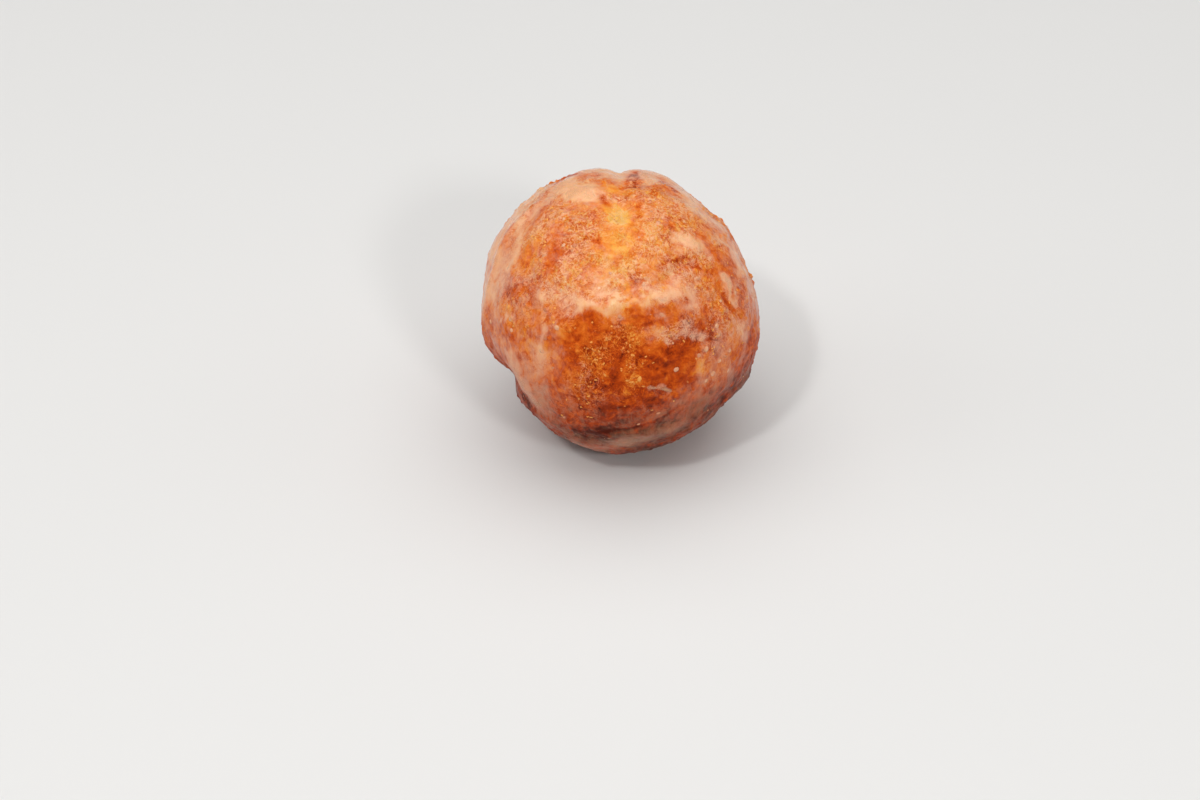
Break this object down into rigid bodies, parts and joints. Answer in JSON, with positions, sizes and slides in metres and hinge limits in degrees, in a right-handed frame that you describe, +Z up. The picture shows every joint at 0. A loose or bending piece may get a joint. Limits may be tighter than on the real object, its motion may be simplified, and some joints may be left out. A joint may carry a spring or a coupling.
{
  "type": "doughnut hole",
  "caption": "Ball of fried yeast dough with a browned, cracked crust and a thin sugar glaze, resting on a small flat spot.",
  "frame": {"origin": "under the middle of the ball's box, on the surface that it rests on", "axes": "+Z up through the pale navel on the crown, +X to the picture's right, +Y away from its camera"},
  "size_m": [0.0374, 0.0376, 0.0367],
  "materials": {
    "fried_crust": "browned fried dough, mottled from pale gold to dark brown, satin under a thin glaze",
    "sugar_glaze": "set sugar glaze, thin, milky and glossy"
  },
  "bodies": {
    "root": {"doughnut_hole": "fried_crust"}
  },
  "joints": []
}
